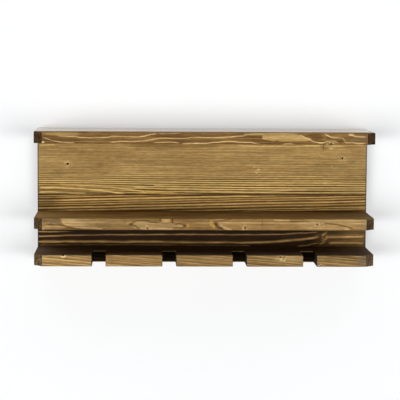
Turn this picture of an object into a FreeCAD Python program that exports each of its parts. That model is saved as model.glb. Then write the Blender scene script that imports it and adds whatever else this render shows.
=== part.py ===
import FreeCAD, Part
import os

# Wall-mounted wine rack of planed softwood boards: two planks edge-joined into a back panel, three
# shelves screwed on from behind, and two keyhole hangers let into the rear face. All sizes are in mm.
# The wall is the plane y = 0, the shelves stand out towards -Y, +X is right and +Z is up.
# The origin lies on the wall, midway between the two keyholes.

# Boards
BOARD_LENGTH = 600.0
PLANK_WIDTH = 120.0
PLANK_THICKNESS = 20.0
SHELF_DEPTH = 120.0
SHELF_THICKNESS = 20.0
CORNER_CLIP = 15.5
ARRIS_RADIUS = 1.0

# Heights: the top shelf is flush with the panel's top edge
LOWER_REVEAL = 4.5  # panel edge left below the glass shelf
FOOT_GAP = 44.5  # clear height for the feet of hanging glasses

# Slots for glass stems, open at the front
SLOT_COUNT = 4
SLOT_PITCH = 124.0
SLOT_WIDTH = 24.0
SLOT_DEPTH = 60.0
SLOT_CORNER_RADIUS = 3.0

# Dowels in the joint between the planks
DOWEL_COUNT = 5
DOWEL_DIAMETER = 8.0
DOWEL_LENGTH = 40.0
DOWEL_BEVEL = 1.0
DOWEL_END_ROOM = 0.8  # glue room past each end of a dowel
DOWEL_END_MARGIN = 60.0

# Countersunk screws through the panel into the back edge of each shelf
SHELF_SCREWS = 4
SHELF_SCREW_END_MARGIN = 50.0
SHELF_SCREW_LENGTH = 50.0
SHELF_SCREW_THREAD = 4.0
SHELF_SCREW_SHANK = 2.9
SHELF_SCREW_HEAD = 8.0
SHELF_SCREW_GRIP = 30.0  # threaded length, tip included
CLEARANCE_HOLE = 4.5  # hole through the panel for a shelf screw
HEAD_SINK = 0.4  # screw heads lie this far below the surface

# Keyhole hangers, flush with the rear face of the upper plank
HANGER_END_MARGIN = 70.0  # from the plank's end to the keyhole
HANGER_WIDTH = 46.0
HANGER_ABOVE = 16.0  # plate above the keyhole's centre
HANGER_BELOW = 10.0  # plate below the keyhole's centre
HANGER_THICKNESS = 2.0
HANGER_CORNER_RADIUS = 4.0
HANGER_FIT = 0.15  # gap round the plate in its recess
KEYHOLE_ENTRY = 9.5
KEYHOLE_SLOT = 5.0
KEYHOLE_RISE = 9.0  # from the entry's centre to the slot's upper end
HEAD_POCKET_WIDTH = 13.0
HEAD_POCKET_DEPTH = 7.0

# Countersunk screws that hold the hangers
HANGER_SCREW_SPACING = 34.0
HANGER_SCREW_LENGTH = 14.0
HANGER_SCREW_THREAD = 3.0
HANGER_SCREW_SHANK = 2.4
HANGER_SCREW_HEAD = 6.0
HANGER_SCREW_GRIP = 11.0
HANGER_HEAD_SINK = 0.1

# Details that all screws share
TIP_LENGTH = 3.0
RECESS_WIDTH = 0.8
RECESS_SPAN_SHARE = 0.55  # cross recess across the head, as a share of the head's diameter
RECESS_DEPTH_SHARE = 0.18

OVERCUT = 1.0  # how far a cutting shape runs past a face

# Places that follow from the sizes above
HALF_LENGTH = BOARD_LENGTH / 2
PANEL_TOP = PLANK_WIDTH / 2
JOINT_HEIGHT = PANEL_TOP - PLANK_WIDTH
PANEL_BOTTOM = JOINT_HEIGHT - PLANK_WIDTH
PANEL_FRONT = -PLANK_THICKNESS
SHELF_FRONT = PANEL_FRONT - SHELF_DEPTH
TOP_SHELF_Z = PANEL_TOP - SHELF_THICKNESS
GLASS_SHELF_Z = PANEL_BOTTOM + LOWER_REVEAL
MIDDLE_SHELF_Z = GLASS_SHELF_Z + SHELF_THICKNESS + FOOT_GAP
HANGER_X = HALF_LENGTH - HANGER_END_MARGIN

Vector = FreeCAD.Vector


def spread(count, end_margin):
    """Evenly spaced places along the boards, the outer ones a margin in from the ends."""
    reach = HALF_LENGTH - end_margin
    return [reach * (2 * i / (count - 1) - 1) for i in range(count)]


def block(low, high):
    """A box between two corners."""
    size = [b - a for a, b in zip(low, high)]
    return Part.makeBox(*size, Vector(*low))


def ease(shape, radius, wanted):
    """Round the edges that the test picks."""
    return shape.makeFillet(radius, [edge for edge in shape.Edges if wanted(edge)])


def level(edge, z):
    """True for an edge that lies at one height."""
    return all(abs(vertex.Z - z) < 1e-6 for vertex in edge.Vertexes)


def at_depth(edge, y):
    """True for an edge that lies at one distance from the wall."""
    return all(abs(vertex.Y - y) < 1e-6 for vertex in edge.Vertexes)


def runs_along(edge, direction):
    """True for a straight edge along a direction."""
    span = edge.Vertexes[-1].Point - edge.Vertexes[0].Point
    return span.cross(direction).Length < 1e-6


def turned(profile, x, z):
    """A solid of revolution from (radius, depth below the rear face) points, driven in from behind."""
    points = [Vector(radius, -depth, 0) for radius, depth in profile]
    face = Part.Face(Part.makePolygon(points + points[:1]))
    solid = face.revolve(Vector(0, 0, 0), Vector(0, 1, 0), 360)
    solid.translate(Vector(x, 0, z))
    return solid


def cone_depth(head, shank):
    """Height of a 90 degree countersunk head."""
    return (head - shank) / 2


def screw(x, z, length, thread, shank, head, grip, sink):
    """A countersunk wood screw with a cross recess, its tip towards the front."""
    neck = sink + cone_depth(head, shank)
    end = sink + length
    body = turned([(0, sink), (head / 2, sink), (shank / 2, neck), (shank / 2, end - grip),
                   (thread / 2, end - grip), (thread / 2, end - TIP_LENGTH), (0, end)], x, z)
    span = head * RECESS_SPAN_SHARE / 2
    floor = -sink - head * RECESS_DEPTH_SHARE
    half = RECESS_WIDTH / 2
    across = block((x - span, floor, z - half), (x + span, OVERCUT, z + half))
    upright = block((x - half, floor, z - span), (x + half, OVERCUT, z + span))
    return body.cut(across.fuse(upright))


def countersink(x, z, hole, head, sink, depth):
    """The cutting shape of a countersunk hole from the rear face to a depth."""
    neck = sink + cone_depth(head, hole)
    return turned([(0, -OVERCUT), (head / 2, -OVERCUT), (head / 2, sink), (hole / 2, neck),
                   (hole / 2, depth), (0, depth)], x, z)


def shelf_screw(x, z):
    return screw(x, z, SHELF_SCREW_LENGTH, SHELF_SCREW_THREAD, SHELF_SCREW_SHANK,
                 SHELF_SCREW_HEAD, SHELF_SCREW_GRIP, HEAD_SINK)


def shelf_screw_row(shelf_z):
    """The screws of one shelf, in line with the middle of its thickness."""
    z = shelf_z + SHELF_THICKNESS / 2
    return [shelf_screw(x, z) for x in spread(SHELF_SCREWS, SHELF_SCREW_END_MARGIN)]


def shelf_screw_holes(shelf_z):
    """Countersunk holes through the panel for one shelf's screws."""
    z = shelf_z + SHELF_THICKNESS / 2
    return [countersink(x, z, CLEARANCE_HOLE, SHELF_SCREW_HEAD, HEAD_SINK, PLANK_THICKNESS + OVERCUT)
            for x in spread(SHELF_SCREWS, SHELF_SCREW_END_MARGIN)]


def pilot_holes(shelf_z):
    """Holes in the back edge of a shelf, the size of the screw's thread."""
    z = shelf_z + SHELF_THICKNESS / 2
    end = HEAD_SINK + SHELF_SCREW_LENGTH
    radius = SHELF_SCREW_THREAD / 2
    profile = [(0, 0), (radius, 0), (radius, end - TIP_LENGTH), (0, end)]
    return [turned(profile, x, z) for x in spread(SHELF_SCREWS, SHELF_SCREW_END_MARGIN)]


def dowel(x):
    """A dowel across the joint between the planks, with bevelled ends."""
    low = JOINT_HEIGHT - DOWEL_LENGTH / 2
    rod = Part.makeCylinder(DOWEL_DIAMETER / 2, DOWEL_LENGTH, Vector(x, PANEL_FRONT / 2, low))
    ends = (low, low + DOWEL_LENGTH)
    return rod.makeChamfer(DOWEL_BEVEL, [e for e in rod.Edges if any(level(e, z) for z in ends)])


def dowel_hole(x):
    length = DOWEL_LENGTH + 2 * DOWEL_END_ROOM
    return Part.makeCylinder(DOWEL_DIAMETER / 2, length,
                             Vector(x, PANEL_FRONT / 2, JOINT_HEIGHT - length / 2))


def plate_outline(x, gap, thickness):
    """A hanger plate's rounded outline, grown by a gap and set in from the rear face."""
    half = HANGER_WIDTH / 2 + gap
    plate = block((x - half, -thickness, -HANGER_BELOW - gap), (x + half, 0, HANGER_ABOVE + gap))
    return ease(plate, HANGER_CORNER_RADIUS + gap, lambda edge: runs_along(edge, Vector(0, 1, 0)))


def upright_slot(x, width, depth):
    """A round-ended slot from the keyhole's entry up to its end, cut in from the rear face."""
    radius = width / 2
    low = Part.makeCylinder(radius, depth + OVERCUT, Vector(x, OVERCUT, 0), Vector(0, -1, 0))
    high = Part.makeCylinder(radius, depth + OVERCUT, Vector(x, OVERCUT, KEYHOLE_RISE), Vector(0, -1, 0))
    middle = block((x - radius, -depth, 0), (x + radius, OVERCUT, KEYHOLE_RISE))
    return low.fuse([high, middle]).removeSplitter()


def hanger_screw_places(x):
    return [x - HANGER_SCREW_SPACING / 2, x + HANGER_SCREW_SPACING / 2]


def hanger_plate(x):
    """A steel keyhole plate: round entry, narrow slot above it, two countersunk holes."""
    plate = plate_outline(x, 0, HANGER_THICKNESS)
    entry = Part.makeCylinder(KEYHOLE_ENTRY / 2, HANGER_THICKNESS + 2 * OVERCUT,
                              Vector(x, OVERCUT, 0), Vector(0, -1, 0))
    slot = upright_slot(x, KEYHOLE_SLOT, HANGER_THICKNESS + OVERCUT)
    holes = [countersink(place, 0, HANGER_SCREW_THREAD, HANGER_SCREW_HEAD, HANGER_HEAD_SINK,
                         HANGER_THICKNESS + OVERCUT) for place in hanger_screw_places(x)]
    return plate.cut([entry, slot] + holes)


def hanger_screw_row(x):
    return [screw(place, 0, HANGER_SCREW_LENGTH, HANGER_SCREW_THREAD, HANGER_SCREW_SHANK,
                  HANGER_SCREW_HEAD, HANGER_SCREW_GRIP, HANGER_HEAD_SINK)
            for place in hanger_screw_places(x)]


def hanger_recess(x):
    """What is cut from the plank for one hanger: plate recess, head pocket and screw holes."""
    end = HANGER_HEAD_SINK + HANGER_SCREW_LENGTH
    radius = HANGER_SCREW_THREAD / 2
    profile = [(0, 0), (radius, 0), (radius, end - TIP_LENGTH), (0, end)]
    holes = [turned(profile, place, 0) for place in hanger_screw_places(x)]
    pocket = upright_slot(x, HEAD_POCKET_WIDTH, HANGER_THICKNESS + HEAD_POCKET_DEPTH)
    return [plate_outline(x, HANGER_FIT, HANGER_THICKNESS), pocket] + holes


def plank(low_z):
    """One back plank with the arrises of its front face eased."""
    board = block((-HALF_LENGTH, PANEL_FRONT, low_z), (HALF_LENGTH, 0, low_z + PLANK_WIDTH))
    return ease(board, ARRIS_RADIUS, lambda edge: at_depth(edge, PANEL_FRONT))


def back_plank_upper():
    holes = [dowel_hole(x) for x in spread(DOWEL_COUNT, DOWEL_END_MARGIN)]
    holes += shelf_screw_holes(TOP_SHELF_Z)
    for x in (-HANGER_X, HANGER_X):
        holes += hanger_recess(x)
    return plank(JOINT_HEIGHT).cut(holes)


def back_plank_lower():
    holes = [dowel_hole(x) for x in spread(DOWEL_COUNT, DOWEL_END_MARGIN)]
    holes += shelf_screw_holes(MIDDLE_SHELF_Z)
    holes += shelf_screw_holes(GLASS_SHELF_Z)
    return plank(PANEL_BOTTOM).cut(holes)


def clipped_board(low_z):
    """A shelf blank with its two front corners clipped at 45 degrees."""
    outline = [(-HALF_LENGTH, PANEL_FRONT), (HALF_LENGTH, PANEL_FRONT),
               (HALF_LENGTH, SHELF_FRONT + CORNER_CLIP), (HALF_LENGTH - CORNER_CLIP, SHELF_FRONT),
               (CORNER_CLIP - HALF_LENGTH, SHELF_FRONT), (-HALF_LENGTH, SHELF_FRONT + CORNER_CLIP)]
    points = [Vector(x, y, low_z) for x, y in outline]
    face = Part.Face(Part.makePolygon(points + points[:1]))
    return face.extrude(Vector(0, 0, SHELF_THICKNESS))


def eased_board(board, low_z):
    """Ease a shelf's top and bottom edges, except where it meets the panel."""
    heights = (low_z, low_z + SHELF_THICKNESS)
    return ease(board, ARRIS_RADIUS,
                lambda edge: any(level(edge, z) for z in heights) and not at_depth(edge, PANEL_FRONT))


def stem_slot(x):
    """The cutting shape of one stem slot, with rounded inner corners."""
    end = SHELF_FRONT + SLOT_DEPTH
    half = SLOT_WIDTH / 2
    cutter = block((x - half, SHELF_FRONT - OVERCUT, GLASS_SHELF_Z - OVERCUT),
                   (x + half, end, GLASS_SHELF_Z + SHELF_THICKNESS + OVERCUT))
    return ease(cutter, SLOT_CORNER_RADIUS,
                lambda edge: at_depth(edge, end) and runs_along(edge, Vector(0, 0, 1)))


def plain_shelf(low_z):
    return eased_board(clipped_board(low_z), low_z).cut(pilot_holes(low_z))


def glass_shelf():
    """The lowest shelf, slotted so that glasses hang by their feet."""
    first = -SLOT_PITCH * (SLOT_COUNT - 1) / 2
    slots = [stem_slot(first + i * SLOT_PITCH) for i in range(SLOT_COUNT)]
    board = clipped_board(GLASS_SHELF_Z).cut(slots)
    return eased_board(board, GLASS_SHELF_Z).cut(pilot_holes(GLASS_SHELF_Z))


def all_parts():
    """Every node's name and shape."""
    parts = {
        "back_plank_upper": back_plank_upper(),
        "back_plank_lower": back_plank_lower(),
        "top_shelf": plain_shelf(TOP_SHELF_Z),
        "middle_shelf": plain_shelf(MIDDLE_SHELF_Z),
        "glass_shelf": glass_shelf(),
        "top_shelf_screws": Part.makeCompound(shelf_screw_row(TOP_SHELF_Z)),
        "middle_shelf_screws": Part.makeCompound(shelf_screw_row(MIDDLE_SHELF_Z)),
        "glass_shelf_screws": Part.makeCompound(shelf_screw_row(GLASS_SHELF_Z)),
    }
    for number, x in enumerate(spread(DOWEL_COUNT, DOWEL_END_MARGIN), start=1):
        parts[f"panel_dowel_{number}"] = dowel(x)
    for side, x in (("left", -HANGER_X), ("right", HANGER_X)):
        parts[f"hanger_plate_{side}"] = hanger_plate(x)
        parts[f"hanger_screws_{side}"] = Part.makeCompound(hanger_screw_row(x))
    return parts


def main():
    os.makedirs("parts", exist_ok=True)
    for name, shape in all_parts().items():
        shape.exportStep(f"parts/{name}.step")


main()
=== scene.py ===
import math
from typing import NamedTuple

import bmesh
import bpy
from mathutils import Matrix, Vector, noise


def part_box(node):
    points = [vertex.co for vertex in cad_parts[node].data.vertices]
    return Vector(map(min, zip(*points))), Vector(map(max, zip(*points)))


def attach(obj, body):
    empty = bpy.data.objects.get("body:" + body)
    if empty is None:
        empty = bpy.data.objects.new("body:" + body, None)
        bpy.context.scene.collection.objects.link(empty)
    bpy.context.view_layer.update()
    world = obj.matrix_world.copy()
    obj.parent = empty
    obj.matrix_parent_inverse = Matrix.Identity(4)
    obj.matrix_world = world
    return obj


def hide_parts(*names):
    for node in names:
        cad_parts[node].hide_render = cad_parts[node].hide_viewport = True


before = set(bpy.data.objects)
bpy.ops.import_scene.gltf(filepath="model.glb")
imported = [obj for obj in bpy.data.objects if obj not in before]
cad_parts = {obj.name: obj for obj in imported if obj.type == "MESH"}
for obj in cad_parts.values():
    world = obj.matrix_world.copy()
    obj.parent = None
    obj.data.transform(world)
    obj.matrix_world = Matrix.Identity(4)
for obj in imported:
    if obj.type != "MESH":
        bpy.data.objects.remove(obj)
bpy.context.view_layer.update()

MM_PER_METRE = 1000.0

# Shelf outline, in metres
SLOTTED_SHELF = "glass_shelf"
CORNER_CLIP = 0.0155
SLOT_COUNT = 4
SLOT_PITCH = 0.124
SLOT_WIDTH = 0.024
SLOT_DEPTH = 0.060
SLOT_CORNER = 0.003
CORNER_EASE = 0.0020
OUTLINE_STEP = 0.006

# Worn edges of the shelves, in metres
ARRIS_RADIUS = 0.0008
ARRIS_SPREAD = 0.0003
ARRIS_MOST = CORNER_EASE * 0.85
ARRIS_STEPS = 4
DENT_DEPTH = 0.0010
EDGE_WANDER = 0.00025
PANEL_EDGE_RADIUS = 0.0002
SLOT_END_RADIUS = 0.0022

# Noises of the worn edges: cells per metre, the level where a dent starts, seeds and the wear of slot ends,
# whose part past 1 is a painted highlight
ARRIS_CELLS = 38.0
DENT_CELLS = 9.0
WANDER_CELLS = 14.0
DENT_START = 0.42
SHELF_SEED = 11.0
UPPER_SEED = 3.1
DENT_SEED = 7.3
SLOT_END_WEAR_AND_HIGHLIGHT = 2.0

# How far large faces lead when normals are evened: 50 is neutral
NORMAL_WEIGHT = 90

# Camera, fitted to the photographed edges
CAMERA_EYE = Vector((-0.1087, -3.006, 0.2286))
CAMERA_AIM = Vector((-0.0039, 0.0, -0.0717))
CAMERA_ROLL = math.radians(0.384)
CAMERA_LENS = 148.14
SENSOR_WIDTH = 36.0

# Wall, in metres, and the share of its own glow
WALL_GAP = 0.0008
WALL_REACH = 6.0
WALL_GLOW = 0.38

# Light by its direction: strengths, and shares at stops of height (z plus HEIGHT_SHIFT) and of depth (y)
LIGHT_STRENGTH = 14.8
LIGHT_LEAN = 0.20
FILL_STRENGTH = 0.08
OVERHEAD_STRENGTH = 0.80
OVERHEAD_LEVELS = (0.45, 0.75)
BACKGROUND_STRENGTH = 0.95
HEIGHT_SHIFT = 0.5
HEIGHT_STOPS = (
    (0.14, 0.0), (0.19, 0.1), (0.30, 0.4), (0.44, 0.6), (0.47, 1.0), (0.50, 0.9), (0.52, 0.45), (0.61, 0.0),
)
DEPTH_STOPS = ((0.0, 0.10), (0.55, 0.25), (0.78, 1.0), (0.92, 1.0), (0.972, 0.0))

# Grain of the stained wood, in millimetres
SLOW_DRIFT = 4.0
QUICK_DRIFT = 1.6
SWELL_DEPTH = 70.0
FRONT_DEPTH = 14.0
FRONT_FULL = 4.2
RAGGED = 2.4
EDGE_STAIN_LEAST = 1.7
EDGE_STAIN_SPREAD = 1.6
END_STAIN_WIDTH = 3.2
UPPER_WEAR = 56.0
# How far the top of the painted shade between the lower shelves is eased
GAP_SHADE_EASE = 8.0
VEIN_MARGIN = 1.0
BOARD_SHIFT = Vector((3700.0, 1300.0, 2100.0))

# Growth rings: shifts in rings, places within a ring and how strong its lines are there
RING_SHIFT = 17.0
RING_UNEVEN = 1.3
RING_END = 0.95
RING_TOP = 0.90
RING_FOOT = 0.4
RING_TAIL = 2.2
PALE_START = 0.8
DARK_EDGE = 0.7
DARK_FOOT = 0.94
DARK_TOP = 0.97

# Heights of a hill between which a patch, an island or a knot's heart comes in, and an island's outlines
PATCH_LEVELS = (0.22, 0.60)
ISLAND_LEVELS = (0.36, 0.42)
HEART_LEVELS = (0.32, 0.6)
OUTLINE_STOPS = ((0.0, 0.0), (0.25, 0.0), (0.30, 1.0), (0.35, 1.0), (0.40, 0.0))
RIM_STOPS = ((0.0, 0.0), (0.15, 0.0), (0.20, 1.0), (0.26, 0.0))
RIM_SHARE = 0.8

# Unevenness of island edges and veins, and a knot's flecks and its reaches in radii
ISLAND_RAGGED = (0.86, 1.14)
VEIN_FAINTEST = 0.55
FLECK_COVER = 0.8
HALO_REACH = (3.4, 2.4)
HEART_REACH = (1.2, 1.0)

# Factors on the colour at three levels of a noise
SHADE_LEVELS = (0.26, 0.5, 0.74)
STREAK_SHADES = (0.66, 1.0, 1.25)
MOTTLE_SHADES = (0.70, 1.0, 1.28)
FIBRE_SHADES = (0.64, 1.0, 1.30)

# Parts of the normal, along x and up, between which end grain and upper faces come in
END_LEVELS = (0.35, 0.70)
UPPER_LEVELS = (0.5, 0.9)

# How strongly pores, end grain, sawn faces (soaked stain and painted shade), worn edges and the flecks of
# beech show
PORE_COVER = 0.25
END_SOAK_MORE = 0.04
END_SOAK_LESS = 0.30
SAWN_STAIN_AND_SHADE_COVER = 0.9
WEAR_COVER = 0.55
BEECH_FLECK_COVER = 0.5

# Relief as strength and height in metres, and the shares of the wood's height
WOOD_RELIEF = (0.35, 0.0003)
ZINC_RELIEF = (0.2, 0.0001)
BEECH_RELIEF = (0.2, 0.0002)
PALE_RISE = 0.5
KNOT_SINK = -0.6
FIBRE_RISE = 0.6
PORE_SINK = -0.4
SAW_RISE = 2.0

# Roughness as spread and least value, and the varnish
WOOD_ROUGHNESS = (0.20, 0.30)
ZINC_ROUGHNESS = (0.25, 0.25)
BEECH_ROUGHNESS = (0.2, 0.5)
OPEN_ROUGHNESS = 0.85
FRONT_COAT = 0.2
COAT_GONE = 0.6
COAT_ROUGHNESS = 0.10
SPECULAR_LEVEL = 0.06


def rgb(red, green, blue):
    """A colour from display values of 0 to 255, as the linear values that shaders use."""
    def channel(value):
        part = value / 255
        if part <= 0.04045:
            return part / 12.92
        return ((part + 0.055) / 1.055) ** 2.4
    return (channel(red), channel(green), channel(blue), 1.0)


# Colours of the stained wood
PALE = rgb(240, 207, 142)
GOLD = rgb(216, 182, 114)
AMBER = rgb(206, 162, 80)
TAN = rgb(194, 160, 98)
UMBER = rgb(106, 75, 34)
RUSSET = rgb(94, 62, 31)
# Near black: painted shade in the gap between the lower shelves, and a dark tone
DARK_STAIN_AND_SHADE = rgb(33, 16, 4)
GREYED = rgb(122, 102, 74)
KNOT_HEART = rgb(44, 24, 6)
END_GRAIN = rgb(32, 22, 14)
# Near black sawn faces: soaked stain, and painted shade in the slots
SAWN_STAIN_AND_SHADE = rgb(7, 5, 3)
EDGE_DARK = rgb(50, 33, 19)
EDGE_RUBBED = rgb(150, 118, 68)
# Multiplied into upper faces as painted shade
UPPER_SHADE_TINT = (0.20, 0.22, 0.60, 1.0)

# Colours of the zinc plate, the beech and the wall, each from dark to pale
ZINC_TONES = (rgb(150, 150, 146), rgb(196, 194, 184))
BEECH_TONES = (rgb(196, 160, 118), rgb(222, 190, 150))
BEECH_FLECK = rgb(140, 104, 68)
WALL_TONES = (rgb(249, 250, 251), rgb(251, 252, 253))


class Cells(NamedTuple):
    """A noise: the size of its cells along x, y and z, and the levels between which a step on it runs."""
    size: tuple
    detail: float = 2.0
    roughness: float = 0.5
    low: float = 0.0
    high: float = 1.0


# Noises of the materials, in millimetres. Those of the rings count in rings up the board
RAGGED_EDGES = Cells((22, 22, 7))
SLOW_BENDS = Cells((385, 111, 71))
QUICK_BENDS = Cells((77, 25, 14))
RING_WIDTHS = Cells((1, 1, 1.4), 1.0)
RING_STRENGTHS = Cells((77, 1, 1), 2.0, 0.5, 0.28, 0.62)
ISLAND_EDGES = Cells((19, 9, 2.6), 2.0, 0.6, 0.25, 0.75)
VEIN_STRENGTHS = Cells((42, 40, 12), 1.0, 0.5, 0.30, 0.60)
KNOT_FLECKS = Cells((4.2, 4, 2.8), 2.0, 0.5, 0.46, 0.64)
BLOTCHES = Cells((143, 62, 45), 3.0, 0.6, 0.3, 0.7)
STREAKS = Cells((167, 8.3, 2.4), 3.0, 0.65)
MOTTLE = Cells((14, 3.3, 2.4), 3.0, 0.7)
FIBRES = Cells((62, 1.1, 1.1), 3.0, 0.6)
PORES = Cells((17, 0.45, 0.45), 1.0, 0.5, 0.62, 0.74)
EDGE_STAIN_WIDTHS = Cells((34, 34, 34), 2.0, 0.5, 0.36, 0.62)
END_SPECKLE = Cells((3, 3, 5), 3.0, 0.7, 0.36, 0.66)
RUBBED_PLACES = Cells((22, 22, 22), 3.0, 0.5, 0.40, 0.70)
GLOSS = Cells((83, 17, 17))
SAW_MARKS = Cells((0.7, 1.1, 17), 1.0)
ZINC_CLOUDS = Cells((3.8, 3.8, 3.8), 3.0, 0.6, 0.3, 0.7)
ZINC_SCRATCHES = Cells((3.3, 0.4, 0.25))
BEECH_FIBRES = Cells((1.1, 1.1, 17), 3.0, 0.5, 0.3, 0.7)
BEECH_FLECKS = Cells((0.7, 0.7, 3), 1.0, 0.5, 0.64, 0.72)
WALL_CLOUDS = Cells((330, 330, 330), 3.0)


class Swell(NamedTuple):
    """A place where the growth rings bulge up by lift. A reach of None has no end."""
    x: float
    z: float
    reach_x: float
    reach_z: float
    lift: float


class Patch(NamedTuple):
    """An area of another tone on a board's front face. A reach of None has no end."""
    x: float
    z: float
    reach_x: float
    reach_z: float
    amount: float
    tone: tuple


class GapShade(NamedTuple):
    """Painted shade on the front face below top, between the lower shelves, which fades out from start to
    end along the board.
    """
    top: float
    start: float
    end: float
    amount: float
    tone: tuple


class Vein(NamedTuple):
    """A thin smooth line on the front face through points (x, z), dying away over the fade at both ends."""
    points: tuple
    width: float = 0.9
    amount: float = 0.8
    fade: float = 7.0


class Island(NamedTuple):
    """A closed ring in the grain: overlapping ovals (x, z, reach_x, reach_z) of one tone and an outline.

    With thins = (start, end, share) the tone falls to that share of its amount from one x to the other.
    """
    ovals: tuple
    tone: tuple
    amount: float = 0.7
    outline: float = 0.6
    thins: tuple = ()


class Knot(NamedTuple):
    """A small knot. Strength says how dark its heart and how bright the flecks round it are."""
    x: float
    z: float
    radius: float
    strength: float = 1.0


class Fade(NamedTuple):
    """A slow change along a board, from plain at start to the full tint at end."""
    start: float
    end: float
    tint: tuple


class Calm(NamedTuple):
    """The rings have all their strength at the height start and only this share of it at the height end."""
    start: float
    end: float
    share: float


class Figure(NamedTuple):
    """The grain of one board. Places are in millimetres from the middle of its front face.

    Rings are ring_up apart up the board and ring_deep apart into it, and climb by the tilt along it.
    Line and edge set how much of a ring is pale and dark, and steady how strong its faintest part is.
    The ground runs from dark to mid. Pale rings are light, dark lines deep, pale veins vein or else light.
    """
    seed: float
    ring_up: float
    ring_deep: float
    line: float
    edge: float
    dark: tuple
    mid: tuple
    light: tuple
    deep: tuple
    vein: tuple = ()
    tilt: float = 0.0
    end_soak: float = 0.9
    edge_soak: float = 0.0
    # Share of painted shade on the upper faces
    upper_painted_shade: float = 0.0
    upper_roughness: float = 0.8
    upper_coat: float = 0.0
    front_wear: float = 0.0
    steady: float = 0.25
    calm: tuple = ()
    swells: tuple = ()
    # Bands of painted shade on the front face
    gap_shades: tuple = ()
    patches: tuple = ()
    islands: tuple = ()
    pale_veins: tuple = ()
    dark_veins: tuple = ()
    knots: tuple = ()
    fades: tuple = ()
    upper_fades: tuple = ()
    end_fades: tuple = ()


UPPER_PLANK = Figure(
    seed=1.0, ring_up=6.2, ring_deep=16.0, line=0.36, edge=0.30, edge_soak=0.95, steady=0.75,
    dark=rgb(153, 122, 71), mid=rgb(171, 140, 86), light=rgb(227, 193, 118),
    deep=rgb(72, 41, 4), upper_roughness=0.15, upper_coat=0.62, calm=(Calm(-38, -16, 0.12),),
    swells=(Swell(0, -62, None, 45, 32), Swell(-300, -65, 170, 30, 10)),
    patches=(
        Patch(-225, -50, 105, 10, 0.6, rgb(154, 121, 68)),
        Patch(-82, -56, 34, 2.4, 0.75, AMBER),
        Patch(-280, -52.5, 30, 1.8, 0.5, UMBER),
        Patch(-288, -44, 16, 1.6, 0.4, UMBER),
        Patch(-186, -6, 6, 3.4, 0.22, UMBER),
        Patch(-172, 6, 5, 2.4, 0.18, UMBER),
        Patch(-118, 24, 6, 4, 0.22, UMBER),
        Patch(-262, -20, 22, 3, 0.15, UMBER),
        Patch(-290, -54, 85, 14, 0.45, rgb(124, 92, 46)),
        Patch(294, -36, 40, 32, 0.3, rgb(126, 100, 58)),
        Patch(272, 1, 9, 3.4, 0.5, GREYED),
        Patch(236, -7, 2.4, 1.6, 0.6, GOLD),
        Patch(216, 20, 52, 12, 0.4, TAN),
        Patch(232, -11, 42, 16, 0.3, rgb(124, 98, 54)),
        # Painted shadow on the plank just under the top shelf
        Patch(-50, 30, 95, 5.5, 0.6, rgb(120, 88, 40)),
        Patch(-14, -43.5, 70, 4.5, 0.28, rgb(110, 82, 38)),
        Patch(222, 25.5, 7, 2.6, 0.45, UMBER),
        Patch(220, 29, 1.2, 5, 0.7, UMBER),
        Patch(234, 25.5, 3, 2.4, 0.35, PALE),
        Patch(242, 29.2, 20, 1.2, 0.5, PALE),
        Patch(94, -9.5, 3, 1.4, 0.6, GOLD),
        Patch(102, -13.5, 3.5, 1.2, 0.7, PALE),
        Patch(100, -16.5, 6, 1.6, 0.4, GOLD),
        Patch(98, -20.3, 2, 1.4, 0.6, GOLD),
        Patch(-121, -8, 4, 1, 0.5, GOLD),
    ),
    pale_veins=(
        Vein(((-299, -47.8), (-267, -48), (-238, -49), (-209, -50.6), (-179, -53.4), (-150, -58),
              (-138, -59)), 1.3, 0.95),
        Vein(((-299, -55.7), (-259, -56.4), (-238, -57), (-209, -59)), 1.3, 0.9),
        Vein(((-263, -41.7), (-219, -43.5), (-179, -45.6), (-140, -50), (-103, -55)), 1, 0.75),
        Vein(((-129, -43.6), (-92, -48.6), (-41, -50.2), (14, -52.4), (54, -54.4), (105, -54.2),
              (160, -51.4), (196, -50.7)), 1.1, 0.6),
        Vein(((-92, -43), (-41, -44.2), (24, -45.2), (108, -47)), 0.9, 0.5),
        Vein(((60, 30.3), (108, 28.8), (141, 29.4), (172, 28.6), (195, 30.6), (217, 29.8)), 1.1, 0.8),
        Vein(((-299, 30), (-266, 30)), 1.2, 0.8),
    ),
    knots=(Knot(-245.2, -5, 2.2), Knot(255, 7.4, 2)),
)

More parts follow.
